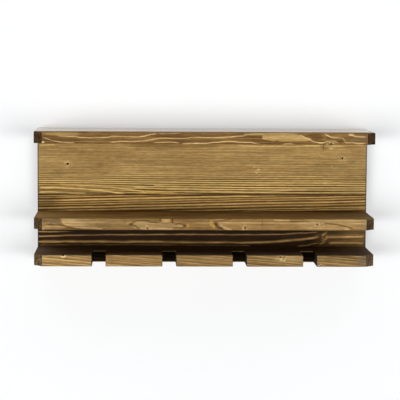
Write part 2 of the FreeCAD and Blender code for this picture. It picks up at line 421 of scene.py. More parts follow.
LOWER_PLANK = Figure(
    seed=2.0, ring_up=6.2, ring_deep=20.0, line=0.36, edge=0.22, tilt=0.032, edge_soak=0.95, steady=0.65,
    dark=rgb(143, 106, 51), mid=rgb(171, 131, 70), light=rgb(228, 188, 115),
    deep=rgb(56, 30, 4), vein=rgb(228, 178, 108), calm=(Calm(20, 12, 0.1),),
    swells=(Swell(0, 18, None, 40, 15),),
    # Painted shade over the gap between the middle and lowest shelves, lighter towards the right
    gap_shades=(
        GapShade(18, 196, 226, 0.97, DARK_STAIN_AND_SHADE),
        GapShade(18, 400, 500, 0.82, rgb(52, 34, 16)),
    ),
    patches=(
        # Painted shadow where the middle shelf's top meets the plank
        Patch(0, 28.5, None, 1.8, 0.7, DARK_STAIN_AND_SHADE),
        Patch(-330, 50, 76, 36, 0.5, DARK_STAIN_AND_SHADE),
        # Painted shadow under the middle shelf, darkest at the top of the gap
        Patch(0, -6, None, 6, 0.5, rgb(16, 9, 4)),
        Patch(224, -18, 6, 9, 0.4, UMBER),
        Patch(330, -24, 80, 48, 0.12, TAN),
        Patch(300, 44, 60, 22, 0.28, rgb(90, 66, 36)),
    ),
    pale_veins=(
        Vein(((-340, -8.3), (-299, -8.3), (-230, -8.7)), 1, 0.6, 60),
        Vein(((-340, -17), (-299, -17), (-260, -16), (-200, -14.6)), 1.2, 0.6, 60),
        Vein(((-299, -17), (-241, -15.3), (-159, -13.8), (-41, -13.2), (109, -12.8), (142, -12.2),
              (179, -10), (214, -8.2)), 1.2, 0.36),
        Vein(((-340, -27), (-299, -27), (-256, -26.9), (-200, -27)), 1.5, 0.85, 60),
        Vein(((-299, -27), (-209, -26.6), (-105, -27), (23, -27.8), (100, -27.5), (133, -25.8),
              (161, -23.4), (190, -20.9), (216, -15.7)), 1.9, 0.68),
        Vein(((-299, -33.2), (-180, -32.4), (-40, -32.8), (90, -33.4)), 0.9, 0.26),
        Vein(((172, -34), (189, -32.9), (201, -30.5), (215, -28)), 1, 0.4),
        Vein(((222, -17.8), (253, -16.9), (299, -16)), 1.7, 0.9),
        Vein(((230, -28.3), (262, -28), (299, -28.5)), 1.9, 0.65),
        Vein(((216, -17), (222, -13), (231, -7)), 1.6, 0.55),
        Vein(((217, -25), (226, -21.5), (234, -15.5)), 1.6, 0.55),
        Vein(((212, -30), (220, -28.5), (229, -22)), 1.4, 0.4),
    ),
    knots=(Knot(224, -17, 1.2),),
)

TOP_SHELF = Figure(
    seed=3.0, ring_up=8.6, ring_deep=8.3, line=0.11, edge=0.12, end_soak=0.91,
    dark=rgb(106, 75, 39), mid=rgb(138, 104, 58), light=PALE, deep=RUSSET,
    upper_roughness=0.15, upper_coat=0.62, front_wear=1.0,
    calm=(Calm(-30, -20, 0.25),),
    patches=(
        Patch(-250, 7.5, 34, 3, 0.5, TAN),
        Patch(-283, -8, 3, 1.4, 0.8, PALE),
        Patch(190, 3.5, 17, 7, 0.6, RUSSET),
        Patch(222, 0.5, 12, 5, 0.5, RUSSET),
        Patch(237, -3.2, 4.5, 5, 0.5, RUSSET),
        Patch(268, -0.6, 18, 4.6, 0.55, GREYED),
        Patch(140, -5, 44, 2, 0.5, UMBER),
        Patch(-39, -7, 4, 1.4, 0.5, RUSSET),
        Patch(-140, -8.3, 4, 1.4, 0.5, RUSSET),
        Patch(255, 7.8, 5, 2, 0.6, PALE),
    ),
    islands=(
        Island(((118, 3.4, 20, 7.4), (140, 3.2, 32, 7.6), (168, -0.5, 18, 4.2), (90, 7.8, 24, 2.2)),
               rgb(190, 157, 98), 0.85, 0.1),
    ),
    pale_veins=(
        Vein(((-285, 1.4), (-276, -1.3), (-267, -4.6), (-257, -6.6), (-248, -7.8), (-225, -8.4)), 0.8),
        Vein(((-260, 4.7), (-243, 2.7), (-227, 2.6), (-218, 1.1), (-184, 1), (-170, 1.6), (-163, 3),
              (-135, 2.8), (-123, 2.2), (-109, 3.5), (-97, 5.8), (-83, 8.5)), 0.8),
        Vein(((-83, 8.6), (-62, 8.8), (-39, 9)), 0.7, 0.5),
        Vein(((-168, -8.1), (-149, -5.6), (-123, -5.3), (-105, -4), (-84, -0.4), (-74, 1), (-53, 0.3),
              (-32, 0.2), (-23, 1.8), (4, 1.9), (25, 2.4), (60, 4.4), (76, 7.8)), 0.8),
        Vein(((-93, -9.2), (-86, -7.1), (-71, -6.3), (-58, -6.6), (-44, -9)), 0.8),
        Vein(((-43, -9.1), (-9, -8.6), (3, -8.2), (8, -7), (20, -5.9), (48, -4.9), (60, -6.1), (74, -6.2),
              (88, -8.4), (99, -9.9)), 0.9),
        Vein(((160, 8.7), (169, 5.6), (176, 1.5), (183, -1.8), (188, -3.9), (197, -5.8), (204, -6.6),
              (211, -5), (218, -3.9), (227, -4.1), (233, -7)), 0.9),
        Vein(((132, -10.4), (137, -8.9), (144, -8.1), (152, -8.8), (157, -10.4)), 0.9, 0.9),
        Vein(((207, 9.6), (214, 6.2), (220, 3.2), (227, 2.4), (236, 2.1), (241, 1.4), (243, -1.4),
              (244, -4.2), (248, -5.7), (257, -5.7), (264, -7.2), (271, -7.7), (283, -5.2)), 1.1, 0.9),
        Vein(((250, 9.8), (257, 6.7), (264, 4.8), (274, 4.2), (284, 4.2)), 1),
    ),
    knots=(Knot(219.5, -9, 2.2),),
)

MIDDLE_SHELF = Figure(
    seed=4.0, ring_up=16.0, ring_deep=9.0, line=0.25, edge=0.05, end_soak=0.88,
    dark=rgb(140, 106, 59), mid=rgb(167, 133, 81),
    light=rgb(218, 184, 128), deep=rgb(72, 44, 14),
    calm=(Calm(-30, -20, 0.35),),
    patches=(
        Patch(-267, 5.5, 19, 4.6, 0.8, rgb(130, 106, 76)),
        Patch(-266, -5.8, 24, 3.6, 0.6, rgb(196, 164, 112)),
        Patch(-283, -8, 3, 2, 0.6, GOLD),
        Patch(-276, 2, 4, 1.6, 0.5, AMBER),
        Patch(-205, -9.4, 34, 1, 0.5, UMBER),
        Patch(-133.5, 1.6, 3.6, 3.8, 0.7, AMBER),
        Patch(-128, 0.3, 3.8, 1.8, 0.85, RUSSET),
        Patch(-68, 7.7, 8, 3.4, 0.6, GOLD),
        Patch(-68, 11, 8, 1.3, 0.8, RUSSET),
        Patch(-78.5, 8, 1.5, 4, 0.7, RUSSET),
        Patch(-56.5, 6, 1.7, 5.5, 0.85, RUSSET),
        Patch(-46, -2.6, 9, 2.6, 0.7, TAN),
        Patch(-35, -2.4, 3.6, 2.2, 0.95, RUSSET),
        Patch(-30, -2.4, 3.4, 4.4, 0.7, AMBER),
        Patch(-10, 2, 30, 24, 0.4, rgb(128, 97, 55)),
        Patch(-150, 4, 26, 24, 0.3, rgb(134, 103, 62)),
        Patch(11, 2.5, 3.2, 5.5, 0.6, AMBER),
        Patch(15, -3.2, 3, 3, 0.6, AMBER),
        Patch(20, 1.5, 4, 4.4, 0.75, RUSSET),
        Patch(71, -0.7, 4, 1.3, 0.6, TAN),
        Patch(67.5, -6.8, 1.6, 2.4, 0.6, GOLD),
        Patch(101, 1, 1.4, 14, 0.3, UMBER),
        Patch(250, -7.6, 5, 1.8, 0.4, GOLD),
        Patch(240, 8, 34, 1.6, 0.4, GOLD),
        Patch(110, -6, 34, 6, 0.25, rgb(128, 98, 56)),
        Patch(214, 2, 54, 16, 0.3, rgb(196, 164, 110)),
        Patch(284, -4, 11, 12, 0.55, rgb(142, 119, 88)),
        Patch(278, 4.5, 24, 5, 0.3, rgb(200, 168, 116)),
    ),
    islands=(
        Island(((-172, 10, 82, 17.5), (-214, 5.5, 40, 9)),
               rgb(212, 180, 124), 0.8, 0, (-250, -180, 0.15)),
        Island(((-103, -2, 25, 8), (-73, -3.5, 22, 8), (-57, -2.8, 20, 4.4)),
               rgb(194, 162, 110), 0.5, 0),
    ),
    pale_veins=(
        Vein(((-252, 4.7), (-246, 0.6), (-236, -2.8), (-227, -4.6), (-210, -6.3), (-192, -7.5),
              (-176, -8.2)), 1.3, 0.85),
        Vein(((-270, 0.9), (-262, 0.8), (-254, 0.2)), 0.8, 0.4),
        Vein(((-124, 2.6), (-117, 3.9), (-107, 4.4), (-100, 4), (-93, 1.6), (-84, 1.2)), 1, 0.6),
        Vein(((-109, -9.2), (-107, -5.6), (-102, -3.4), (-98, -4.5), (-95, -8.5)), 1, 0.8),
        Vein(((-90, -9), (-82, -7.5), (-75, -6.8), (-61, -6.9), (-50, -5.4)), 1.1, 0.6),
        Vein(((23, 5.2), (27, 0.4), (32, -4), (39, -6.6), (50, -8.2)), 1.6, 0.75),
        Vein(((118, 7.9), (152, 8)), 0.9, 0.6),
        Vein(((156, 3.9), (183, 4.3)), 0.9, 0.6),
    ),
    dark_veins=(
        Vein(((-281, 1.6), (-271, -0.5), (-260, -0.5), (-250, -1.9), (-243, -4.2), (-236, -6.2),
              (-226, -8.2)), 1.2, 0.75),
        Vein(((-137, -0.6), (-131, 0.1), (-124, 4.6), (-117, 6), (-107, 6.4), (-100, 6), (-93, 3.4),
              (-84, 3.4), (-79, 5.2)), 1.5, 0.9),
        Vein(((-137, 0.6), (-131, -0.1), (-122, -2.8), (-117, -6.4), (-111, -9.4)), 1.8, 0.85),
        Vein(((-57, 1.5), (-54, 0), (-49, 0.4), (-44, 0.9), (-40, -0.5), (-32, -2.6)), 1.7, 0.85),
        Vein(((-60, -7.4), (-51, -5.6), (-44, -6), (-38, -4.6), (-32, -2.6)), 1.6, 0.75),
        Vein(((13, 7), (15, 5.5), (18, 1.1), (21, -2.5), (27, -6), (36, -8)), 2.4, 0.95),
        Vein(((20, 5), (30, 7.1), (37, 8.2), (50, 9.4)), 1, 0.8),
        Vein(((144, 6), (167, 6.1), (187, 5.8)), 0.8, 0.7),
        Vein(((205, 1.1), (213, 2.3), (222, 1.6), (240, -1), (256, -5), (264, -8.6)), 1.1, 0.9),
    ),
    knots=(
        Knot(-101, -7, 2.3, 0.7),
        Knot(71, -4.6, 2.1, 0.6),
        Knot(198, 0.3, 2.4, 0.7),
        Knot(206, 1.1, 1.1, 0.7),
    ),
    fades=(Fade(90, -110, (0.80, 0.79, 0.77, 1.0)),),
    upper_fades=(
        Fade(120, 280, (0.55, 0.54, 0.50, 1.0)),
        Fade(-20, -120, (1.14, 1.13, 1.05, 1.0)),
    ),
    end_fades=(Fade(0, 280, (0.66, 0.66, 0.72, 1.0)),),
)

GLASS_SHELF = Figure(
    seed=5.0, ring_up=5.4, ring_deep=9.0, line=0.30, edge=0.10, tilt=-0.09, end_soak=0.81,
    dark=rgb(136, 104, 57), mid=rgb(172, 138, 84), light=rgb(212, 178, 118), deep=RUSSET,
    # Its upper faces are darkened: painted shade under the middle shelf
    upper_painted_shade=0.70, calm=(Calm(-30, -20, 0.8),),
    patches=(
        Patch(-262, 0, 54, 24, 0.15, rgb(204, 170, 116)),
        Patch(-75, 3.5, 140, 7, 0.3, rgb(140, 108, 60)),
        Patch(-248, 6.6, 5, 1.6, 0.7, PALE),
        Patch(-252, 4.2, 2.6, 1.4, 0.5, UMBER),
        Patch(-243, 4.2, 2.6, 1.6, 0.5, UMBER),
        Patch(152, 2.6, 30, 6, 0.45, rgb(204, 170, 112)),
        Patch(282, 0, 14, 20, 0.6, rgb(146, 123, 92)),
        Patch(135, 2.2, 2.2, 1.5, 0.8, PALE),
        Patch(140, 0.8, 2.2, 1.5, 0.9, PALE),
    ),
    pale_veins=(Vein(((204, -3), (238, -5.5), (260, -9)), 0.9, 0.5),),
    knots=(Knot(-248.5, 9.3, 2), Knot(133, 6.6, 1.8), Knot(139.5, 6.6, 1.4), Knot(205, -8, 1.3)),
    fades=(
        Fade(-280, 40, (0.74, 0.74, 0.75, 1.0)),
        Fade(150, 300, (0.85, 0.85, 0.86, 1.0)),
    ),
    end_fades=(
        Fade(0, 280, (1.50, 1.55, 1.80, 1.0)),
        Fade(0, -280, (0.84, 0.86, 1.0, 1.0)),
    ),
)

# Boards by their names, with their figures
PLANKS = {"back_plank_upper": UPPER_PLANK, "back_plank_lower": LOWER_PLANK}
SHELVES = {"top_shelf": TOP_SHELF, "middle_shelf": MIDDLE_SHELF, "glass_shelf": GLASS_SHELF}


class Tree:
    """A node tree with short calls that make one node, or a few, and return an output."""

    def __init__(self, tree):
        self.tree = tree

    def node(self, kind, *values, **settings):
        """A new node with its settings, and with values for its first inputs in their order."""
        made = self.tree.nodes.new("ShaderNode" + kind)
        for name, setting in settings.items():
            setattr(made, name, setting)
        for socket, value in zip(made.inputs, values):
            self.feed(socket, value)
        return made

    def feed(self, socket, value):
        """Links an output to the socket, or sets the socket to a plain value."""
        if isinstance(value, bpy.types.NodeSocket):
            self.tree.links.new(value, socket)
        else:
            socket.default_value = value

    def math(self, operation, *values):
        return self.node("Math", *values, operation=operation).outputs["Value"]

    def times(self, product, *factors):
        for factor in factors:
            product = self.math("MULTIPLY", product, factor)
        return product

    def times_plus(self, value, factor, more):
        return self.math("MULTIPLY_ADD", value, factor, more)

    def most(self, greatest, *others):
        for other in others:
            greatest = self.math("MAXIMUM", greatest, other)
        return greatest

    def vector(self, operation, *values):
        made = self.node("VectorMath", *values, operation=operation)
        return made.outputs["Value" if operation == "DOT_PRODUCT" else "Vector"]

    def parts(self, vector):
        return self.node("SeparateXYZ", vector).outputs

    def join(self, x, y, z):
        return self.node("CombineXYZ", x, y, z).outputs[0]

    def noise_node(self, place, cells):
        made = self.node("TexNoise", self.vector("DIVIDE", place, cells.size))
        self.feed(made.inputs["Scale"], 1.0)
        self.feed(made.inputs["Detail"], cells.detail)
        self.feed(made.inputs["Roughness"], cells.roughness)
        return made

    def noise(self, place, cells):
        """Noise from 0 to 1."""
        return self.noise_node(place, cells).outputs["Fac"]

    def noise_step(self, place, cells, first=0.0, last=1.0):
        """A smooth step on a noise, from first at its low level to last at its high level."""
        return self.step(self.noise(place, cells), cells.low, cells.high, first, last)

    def jitter(self, place, near, cells, amount):
        """The place moved about by up to half the amount, by a noise that is read at the place near."""
        shift = self.noise_node(near, cells).outputs["Color"]
        centred = self.vector("SUBTRACT", shift, (0.5, 0.5, 0.5))
        return self.vector("MULTIPLY_ADD", centred, (amount, amount, amount), place)

    def step(self, value, low, high, first=0.0, last=1.0):
        """A smooth step from first at low to last at high."""
        values = (value, low, high, first, last)
        return self.node("MapRange", *values, interpolation_type="SMOOTHSTEP").outputs["Result"]

    def share(self, value, low, high):
        """How far the value has come from low to high, from 0 to 1."""
        return self.node("MapRange", value, low, high).outputs["Result"]

    def ramp(self, value, stops):
        """A number that follows the stops (place, value) in straight lines."""
        made = self.node("ValToRGB", value)
        elements = made.color_ramp.elements
        while len(elements) < len(stops):
            elements.new(0.5)
        for element, (place, level) in zip(elements, stops):
            element.position = place
            element.color = (level, level, level, 1.0)
        return made.outputs["Color"]

    def mix(self, amount, first, second, blend="MIX"):
        made = self.node("Mix", amount, data_type="RGBA", blend_type=blend)
        colours = [socket for socket in made.inputs if socket.type == "RGBA"]
        self.feed(colours[0], first)
        self.feed(colours[1], second)
        return [socket for socket in made.outputs if socket.type == "RGBA"][0]

    def hill(self, place, middle, reach):
        """1 at the middle, 0.37 at the reach and down to 0 past it; a reach of None has no end."""
        scale = [0.0 if each is None else 1 / each for each in reach]
        offset = [-each * by for each, by in zip(middle, scale)]
        away = self.vector("MULTIPLY_ADD", place, scale, offset)
        far = self.vector("DOT_PRODUCT", away, away)
        return self.math("EXPONENT", self.times(far, -1.0))

    def relief(self, inputs, height, strength, distance):
        """Feeds the normal of a shader's inputs from a height."""
        bump = self.node("Bump", strength, distance)
        self.feed(bump.inputs["Height"], height)
        self.feed(inputs["Normal"], bump.outputs["Normal"])


class Spot(NamedTuple):
    """The point that a board's material colours, in millimetres from the middle of the front face.

    Loose is the place made ragged, and field the place that noises read. Front, end, upper and sawn say,
    from 0 to 1, how far it is on the front face, end grain, an upper face or a sawn one. Wear is edge wear,
    and past 1 a painted highlight on the upper edges of the slot ends.
    """
    place: object
    loose: object
    field: object
    x: object
    y: object
    z: object
    front: object
    end: object
    upper: object
    sawn: object
    wear: object


def new_material(name):
    material = bpy.data.materials.new(name)
    material.use_nodes = True
    tree = Tree(material.node_tree)
    inputs = material.node_tree.nodes["Principled BSDF"].inputs
    return material, tree, inputs


def millimetres(tree, origin=Vector()):
    """The place in millimetres from an origin that is given in metres."""
    coordinates = tree.node("TexCoord").outputs["Object"]
    scale = (MM_PER_METRE, MM_PER_METRE, MM_PER_METRE)
    return tree.vector("MULTIPLY_ADD", coordinates, scale, -origin * MM_PER_METRE)


def board_spot(tree, name, seed):
    low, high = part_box(name)
    place = millimetres(tree, Vector(((low.x + high.x) / 2, low.y, (low.z + high.z) / 2)))
    field = tree.vector("ADD", place, BOARD_SHIFT * seed)
    loose = tree.jitter(place, field, RAGGED_EDGES, RAGGED)
    x, y, z = tree.parts(place)
    front = tree.step(y, FRONT_FULL, FRONT_DEPTH, 1.0, 0.0)
    along, _, up = tree.parts(tree.node("NewGeometry").outputs["Normal"])
    end = tree.step(tree.math("ABSOLUTE", along), *END_LEVELS)
    upper = tree.step(up, *UPPER_LEVELS)
    sawn = tree.node("Attribute", attribute_name="sawn").outputs["Fac"]
    wear = tree.node("Attribute", attribute_name="wear").outputs["Fac"]
    return Spot(place, loose, field, x, y, z, front, end, upper, sawn, wear)


def ragged_hill(tree, spot, x, z, reach_x, reach_z):
    """A hill on the front face with ragged sides."""
    return tree.hill(spot.loose, (x, 0.0, z), (reach_x, None, reach_z))


def grain_level(tree, spot, figure):
    """Height across the grain: lines of equal level are the growth rings, bent by swells and drift."""
    slow = tree.math("SUBTRACT", tree.noise(spot.field, SLOW_BENDS), 0.5)
    quick = tree.math("SUBTRACT", tree.noise(spot.field, QUICK_BENDS), 0.5)
    level = tree.times_plus(slow, SLOW_DRIFT, spot.z)
    level = tree.times_plus(quick, QUICK_DRIFT, level)
    level = tree.times_plus(spot.x, -figure.tilt, level)
    for swell in figure.swells:
        reach = (swell.reach_x, SWELL_DEPTH, swell.reach_z)
        bulge = tree.hill(spot.place, (swell.x, 0.0, swell.z), reach)
        level = tree.times_plus(bulge, -swell.lift, level)
    return level


def ring_lines(tree, spot, level, figure):
    """Pale late wood lines and the dark lines beside them, uneven in width and strength."""
    across = tree.times(level, 1 / figure.ring_up)
    across = tree.times_plus(spot.y, 1 / figure.ring_deep, across)
    across = tree.math("ADD", across, figure.seed * RING_SHIFT)
    uneven = tree.noise(tree.join(0.0, 0.0, across), RING_WIDTHS)
    rings = tree.times_plus(uneven, RING_UNEVEN, across)
    phase = tree.math("FRACT", rings)
    start = RING_END - figure.line
    foot = start - figure.line * RING_FOOT
    pale_stops = ((0.0, 0.0), (foot, 0.0), (start, PALE_START), (RING_TOP, 1.0), (RING_END, 0.0))
    tail = figure.edge * RING_TAIL
    dark_stops = ((0.0, 1.0), (figure.edge, DARK_EDGE), (tail, 0.0), (DARK_FOOT, 0.0), (DARK_TOP, 1.0))
    strength = tree.noise_step(tree.join(spot.x, 0.0, rings), RING_STRENGTHS, figure.steady, 1.0)
    for calm in figure.calm:
        hush = tree.step(spot.z, calm.start, calm.end, 1.0, calm.share)
        strength = tree.times(strength, hush)
    pale = tree.times(tree.ramp(phase, pale_stops), strength)
    dark = tree.times(tree.ramp(phase, dark_stops), strength)
    return pale, dark


def add_gap_shades(tree, spot, colour, figure):
    """Painted shade on the lower part of a board's front face, between the lower shelves."""
    for shade_band in figure.gap_shades:
        below = tree.step(spot.z, shade_band.top - GAP_SHADE_EASE, shade_band.top + GAP_SHADE_EASE, shade_band.amount, 0.0)
        along = tree.step(spot.x, shade_band.start, shade_band.end, 1.0, 0.0)
        cover = tree.times(below, along, spot.front)
        colour = tree.mix(cover, colour, shade_band.tone)
    return colour


def add_patches(tree, spot, colour, figure):
    """Paler and darker areas with ragged edges."""
    for patch in figure.patches:
        near = ragged_hill(tree, spot, patch.x, patch.z, patch.reach_x, patch.reach_z)
        cover = tree.times(tree.step(near, *PATCH_LEVELS, 0.0, patch.amount), spot.front)
        colour = tree.mix(cover, colour, patch.tone)
    return colour


def add_islands(tree, spot, colour, figure):
    """Closed rings: a pale inside, a dark outline and a thin golden line round that."""
    ragged = tree.noise_step(spot.field, ISLAND_EDGES, *ISLAND_RAGGED)
    for island in figure.islands:
        near = 0.0
        for oval in island.ovals:
            near = tree.most(ragged_hill(tree, spot, *oval), near)
        near = tree.times(near, ragged, spot.front)
        inside = tree.step(near, *ISLAND_LEVELS, 0.0, island.amount)
        if island.thins:
            start, end, share = island.thins
            inside = tree.times(inside, tree.step(spot.x, start, end, 1.0, share))
        colour = tree.mix(inside, colour, island.tone)
        outline = tree.ramp(near, OUTLINE_STOPS)
        colour = tree.mix(tree.times(outline, island.outline), colour, figure.deep)
        rim = tree.ramp(near, RIM_STOPS)
        colour = tree.mix(tree.times(rim, island.outline * RIM_SHARE), colour, AMBER)
    return colour


def vein_height(tree, spot, points):
    """The height, at the point's own x, of a smooth line through the points."""
    first, last = points[0][0], points[-1][0]
    heights = [height for _, height in points]
    low = min(heights) - VEIN_MARGIN
    span = max(heights) + VEIN_MARGIN - low
    made = tree.node("FloatCurve")
    curve = made.mapping.curves[0]
    while len(curve.points) < len(points):
        curve.points.new(0.5, 0.5)
    for point, (x, height) in zip(curve.points, points):
        point.location = ((x - first) / (last - first), (height - low) / span)
    made.mapping.update()
    tree.feed(made.inputs["Value"], tree.share(spot.x, first, last))
    return tree.times_plus(made.outputs["Value"], span, low)


def vein_cover(tree, spot, veins):
    """How much of a point is covered by thin lines along the board."""
    wobble = tree.parts(spot.loose)[2]
    cover = 0.0
    for vein in veins:
        off = tree.math("SUBTRACT", wobble, vein_height(tree, spot, vein.points))
        off = tree.math("DIVIDE", off, vein.width)
        body = tree.math("EXPONENT", tree.times(off, off, -1.0))
        first, last = vein.points[0][0], vein.points[-1][0]
        fade = min(vein.fade, (last - first) / 2)
        body = tree.times(body, tree.step(spot.x, first, first + fade, 0.0, vein.amount))
        body = tree.times(body, tree.step(spot.x, last - fade, last, 1.0, 0.0))
        cover = tree.most(cover, body)
    uneven = tree.noise_step(spot.field, VEIN_STRENGTHS, VEIN_FAINTEST, 1.0)
    return tree.times(cover, uneven, spot.front)


def add_knots(tree, spot, colour, figure):
    """Small knots: a dark heart among pale flecks. Returns the colour and how deep the hearts sink."""
    def around(knot, along, up):
        return ragged_hill(tree, spot, knot.x, knot.z, knot.radius * along, knot.radius * up)

    sink = 0.0
    flecks = tree.noise_step(spot.field, KNOT_FLECKS, 0.0, FLECK_COVER)
    for knot in figure.knots:
        shown = tree.times(spot.front, knot.strength)
        halo = tree.times(around(knot, *HALO_REACH), flecks)
        colour = tree.mix(tree.times(halo, shown), colour, PALE)
        core = tree.times(tree.step(around(knot, *HEART_REACH), *HEART_LEVELS), shown)
        colour = tree.mix(core, colour, KNOT_HEART)
        sink = tree.math("ADD", core, sink)
    return colour, sink


def add_shades(tree, colour, shades):
    """Multiplies the colour by noises, each with its factors at the shade levels."""
    for field, factors in shades:
        stops = list(zip(SHADE_LEVELS, factors))
        colour = tree.mix(1.0, colour, tree.ramp(field, stops), "MULTIPLY")
    return colour


def add_fades(tree, spot, colour, fades, shown=1.0):
    """Slow changes of tone along a board, on the faces that are shown."""
    for fade in fades:
        amount = tree.times(tree.step(spot.x, fade.start, fade.end), shown)
        colour = tree.mix(amount, colour, fade.tint, "MULTIPLY")
    return colour


def face_colour(tree, spot, level, lines, figure):
    """The figured colour of the varnished faces, and the height of their relief."""
    pale, dark = lines
    colour = tree.mix(tree.noise_step(spot.field, BLOTCHES), figure.dark, figure.mid)
    colour = tree.mix(pale, colour, figure.light)
    colour = tree.mix(dark, colour, figure.deep)
    # Painted shade between the lower shelves
    colour = add_gap_shades(tree, spot, colour, figure)
    colour = add_patches(tree, spot, colour, figure)
    colour = add_islands(tree, spot, colour, figure)
    colour = tree.mix(vein_cover(tree, spot, figure.dark_veins), colour, figure.deep)
    colour = tree.mix(vein_cover(tree, spot, figure.pale_veins), colour, figure.vein or figure.light)
    colour = add_fades(tree, spot, colour, figure.fades)
    streak_place = tree.join(spot.x, spot.y, tree.math("ADD", level, figure.seed * MM_PER_METRE))
    fibres = tree.noise(spot.field, FIBRES)
    colour = add_shades(tree, colour, [
        (tree.noise(streak_place, STREAKS), STREAK_SHADES),
        (tree.noise(spot.field, MOTTLE), MOTTLE_SHADES),
        (fibres, FIBRE_SHADES),
    ])
    pores = tree.noise_step(spot.field, PORES)
    colour = tree.mix(tree.times(pores, PORE_COVER), colour, figure.deep)
    colour, sink = add_knots(tree, spot, colour, figure)
    height = tree.times_plus(pale, PALE_RISE, tree.times(sink, KNOT_SINK))
    height = tree.times_plus(fibres, FIBRE_RISE, height)
    height = tree.times_plus(pores, PORE_SINK, height)
    return colour, height


def plank_edge(tree, spot, name, figure):
    """Where stain has gathered along the outer edges of a board's front face."""
    low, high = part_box(name)
    half_length = (high.x - low.x) / 2 * MM_PER_METRE
    half_width = (high.z - low.z) / 2 * MM_PER_METRE
    past_end = tree.math("SUBTRACT", tree.math("ABSOLUTE", spot.x), half_length)
    past_side = tree.math("SUBTRACT", tree.math("ABSOLUTE", spot.z), half_width)
    uneven = tree.noise_step(spot.field, EDGE_STAIN_WIDTHS)
    width = tree.times_plus(uneven, -EDGE_STAIN_SPREAD, -EDGE_STAIN_LEAST)
    sides = tree.step(past_side, width, 0.0)
    ends = tree.step(past_end, -END_STAIN_WIDTH, 0.0)
    return tree.times(tree.most(sides, ends), figure.edge_soak)


def add_stains_and_shade(tree, spot, colour, name, figure):
    """Stain in the end grain and along the outer edges, and painted shade on the upper faces."""
    most = figure.end_soak + END_SOAK_MORE
    least = figure.end_soak - END_SOAK_LESS
    soaked = tree.noise_step(spot.field, END_SPECKLE, most, least)
    colour = tree.mix(tree.times(spot.end, soaked), colour, END_GRAIN)
    # Painted shade: the upper faces darkened by a multiplied tint
    upper = tree.times(spot.upper, figure.upper_painted_shade)
    colour = tree.mix(upper, colour, UPPER_SHADE_TINT, "MULTIPLY")
    colour = add_fades(tree, spot, colour, figure.upper_fades, spot.upper)
    colour = add_fades(tree, spot, colour, figure.end_fades, spot.end)
    edge = plank_edge(tree, spot, name, figure)
    edge = tree.times(edge, tree.math("SUBTRACT", 1.0, spot.upper))
    return tree.mix(edge, colour, EDGE_DARK)


def add_wear(tree, spot, colour):
    """Sawn faces dark with soaked stain and painted shade, and rubbed edges, which are pale where they are
    worn most: a painted highlight on the upper edges of the slot ends.
    """
    # Sawn faces near black: soaked stain and painted shade in the slots
    colour = tree.mix(tree.times(spot.sawn, SAWN_STAIN_AND_SHADE_COVER), colour, SAWN_STAIN_AND_SHADE)
    edge = tree.mix(tree.noise_step(spot.field, RUBBED_PLACES), EDGE_DARK, EDGE_RUBBED)
    # Past full wear the edge turns pale: a painted highlight on the slot ends' upper edges
    edge = tree.mix(tree.math("SUBTRACT", spot.wear, 1.0), edge, PALE)
    return tree.mix(tree.times(spot.wear, WEAR_COVER), colour, edge)


def add_varnish(tree, inputs, spot, figure):
    """Satin varnish, gone from end grain, sawn faces, worn edges and the front of a worn upper face."""
    worn_front = tree.step(spot.y, 0.0, UPPER_WEAR, figure.front_wear, 0.0)
    open_wood = tree.most(spot.end, spot.sawn, spot.wear)
    open_wood = tree.most(open_wood, tree.times(worn_front, spot.upper))
    roughness = tree.times_plus(tree.noise(spot.field, GLOSS), *WOOD_ROUGHNESS)
    roughness = tree.step(spot.upper, 0.0, 1.0, roughness, figure.upper_roughness)
    tree.feed(inputs["Roughness"], tree.step(open_wood, 0.0, 1.0, roughness, OPEN_ROUGHNESS))
    coat = tree.step(spot.upper, 0.0, 1.0, FRONT_COAT, figure.upper_coat)
    tree.feed(inputs["Coat Weight"], tree.step(open_wood, 0.0, COAT_GONE, coat, 0.0))
    tree.feed(inputs["Coat Roughness"], COAT_ROUGHNESS)
    tree.feed(inputs["Specular IOR Level"], SPECULAR_LEVEL)


def wood_material(name, figure):
    """Brown stained softwood under a satin varnish, solid all through the board."""
    material, tree, inputs = new_material(name + "_wood")
    spot = board_spot(tree, name, figure.seed)
    level = grain_level(tree, spot, figure)
    lines = ring_lines(tree, spot, level, figure)
    colour, height = face_colour(tree, spot, level, lines, figure)
    # Stains, and painted shade on the upper faces
    colour = add_stains_and_shade(tree, spot, colour, name, figure)
    # Sawn faces, rubbed edges, painted shade of the slots and a painted highlight on the slot ends
    colour = add_wear(tree, spot, colour)
    tree.feed(inputs["Base Color"], colour)
    add_varnish(tree, inputs, spot, figure)
    saw_marks = tree.times(spot.sawn, tree.noise(spot.field, SAW_MARKS))
    height = tree.times_plus(saw_marks, SAW_RISE, height)
    tree.relief(inputs, height, *WOOD_RELIEF)
    return material


def steel_material():
    """Zinc plate on steel: pale grey with a faint yellow cast, cloudy and finely scratched."""
    material, tree, inputs = new_material("zinc_plate")
    place = millimetres(tree)
    clouds = tree.noise_step(place, ZINC_CLOUDS)
    scratches = tree.noise(place, ZINC_SCRATCHES)
    tree.feed(inputs["Base Color"], tree.mix(clouds, *ZINC_TONES))
    tree.feed(inputs["Roughness"], tree.times_plus(scratches, *ZINC_ROUGHNESS))
    tree.feed(inputs["Metallic"], 1.0)
    tree.relief(inputs, scratches, *ZINC_RELIEF)
    return material


